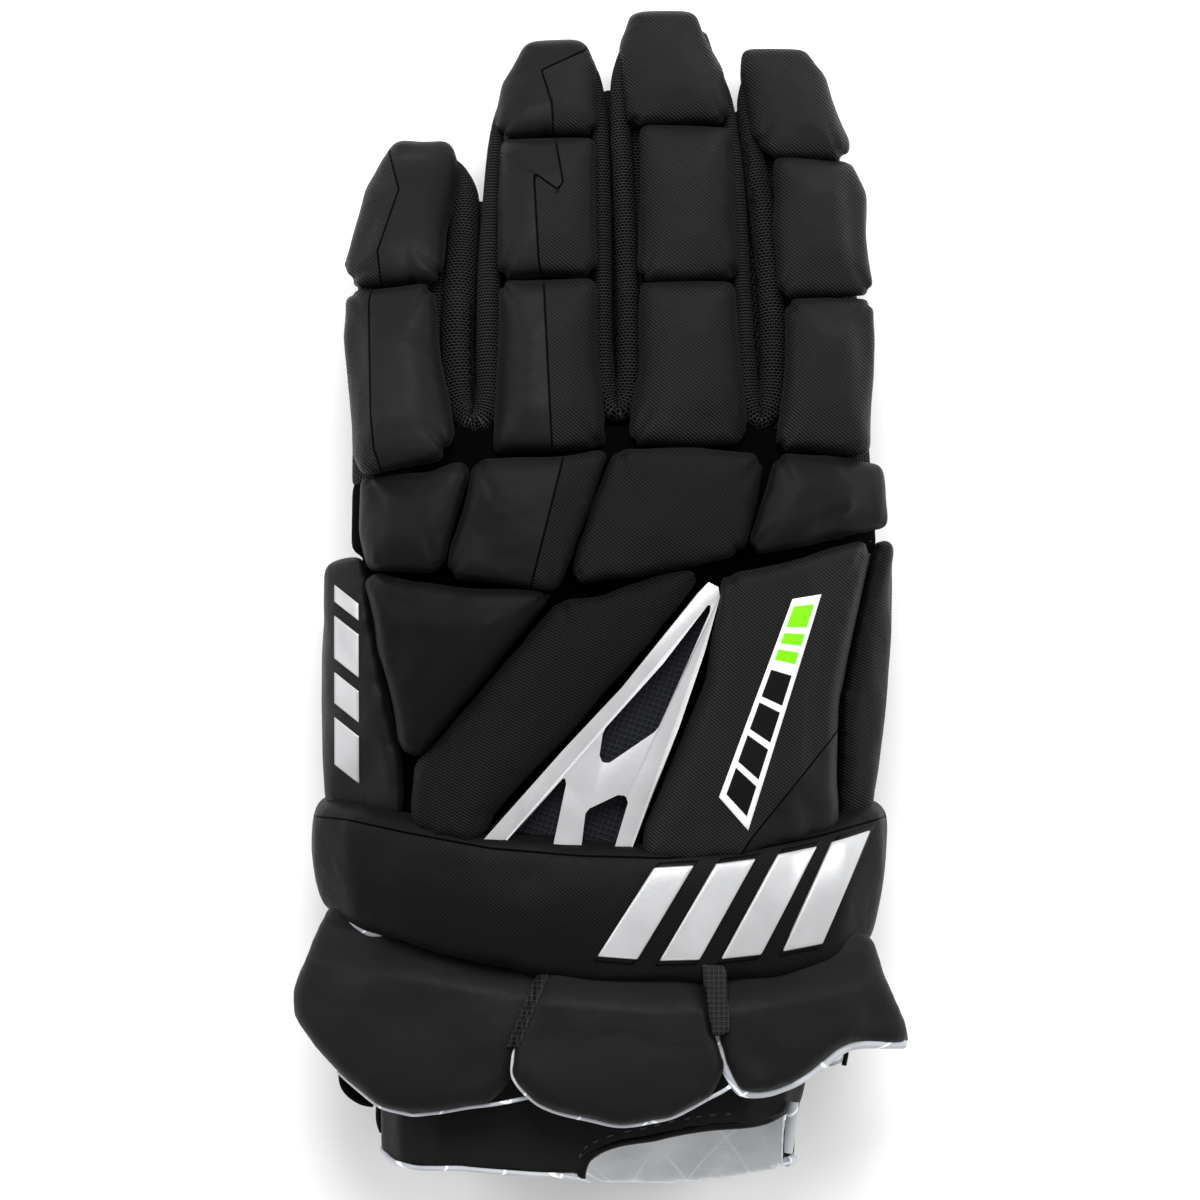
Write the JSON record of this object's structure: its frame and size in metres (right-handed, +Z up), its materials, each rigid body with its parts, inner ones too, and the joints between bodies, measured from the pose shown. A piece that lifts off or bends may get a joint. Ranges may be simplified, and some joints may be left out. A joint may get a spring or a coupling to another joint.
{
  "type": "padded lacrosse glove",
  "caption": "Black padded field glove for the left hand, with foam pads over fingers, knuckles and back, a padded wrist strap and flared cuff panels.",
  "frame": {"origin": "middle of the glove's box on the floor it lies on", "axes": "+Z up, out of the back of the hand; +Y towards the fingertips; +X towards the index finger's side"},
  "size_m": [0.1726, 0.332, 0.0861],
  "materials": {
    "nylon": "satin",
    "knit": "matte",
    "vent_mesh": "matte",
    "leather": "matte",
    "lining": "satin",
    "silver_print": "satin",
    "silver_moulding": "satin",
    "webbing": "matte"
  },
  "bodies": {
    "root": {"knit_pinky": "knit", "finger_leather_pinky": "leather", "knit_ring": "knit", "finger_leather_ring": "leather", "knit_middle": "knit", "finger_leather_middle": "leather", "knit_index": "knit", "finger_leather_index": "leather", "palm_leather": "leather", "back_liner": "knit", "thumb_sleeve": "leather", "wrist_liner": "nylon", "wrist_facing": "lining", "finger_pad_pinky_tip": "nylon", "finger_pad_pinky_base": "nylon", "finger_pad_ring_tip": "nylon", "finger_pad_ring_mid": "nylon", "finger_pad_ring_base": "nylon", "finger_pad_middle_tip": "nylon", "finger_pad_middle_mid": "nylon", "finger_pad_middle_base": "nylon", "finger_pad_index_tip": "nylon", "finger_pad_index_mid": "nylon", "finger_pad_index_base": "nylon", "knuckle_pad_pinky": "nylon", "knuckle_pad_ring": "nylon", "knuckle_pad_middle": "nylon", "knuckle_pad_index": "nylon", "back_pad_outer": "nylon", "back_pad_diagonal": "nylon", "back_pad_wrist": "nylon", "side_guard_outer": "nylon", "side_gusset_thumb": "nylon", "vent_frame": "silver_moulding", "vent_mesh": "vent_mesh", "cuff_panel_middle": "nylon", "cuff_lining_middle": "lining", "cuff_panel_thumb": "nylon", "cuff_lining_thumb": "lining", "cuff_panel_outer": "nylon", "cuff_lining_outer": "lining", "web_tab": "webbing", "wrist_strap": "nylon", "strap_bar_1": "silver_print", "strap_bar_2": "silver_print", "strap_bar_3": "silver_print", "strap_bar_4": "silver_print", "palm_panel": "nylon", "thumb_pad_base": "nylon", "thumb_pad_mid": "nylon", "thumb_pad_tip": "nylon"}
  },
  "joints": []
}
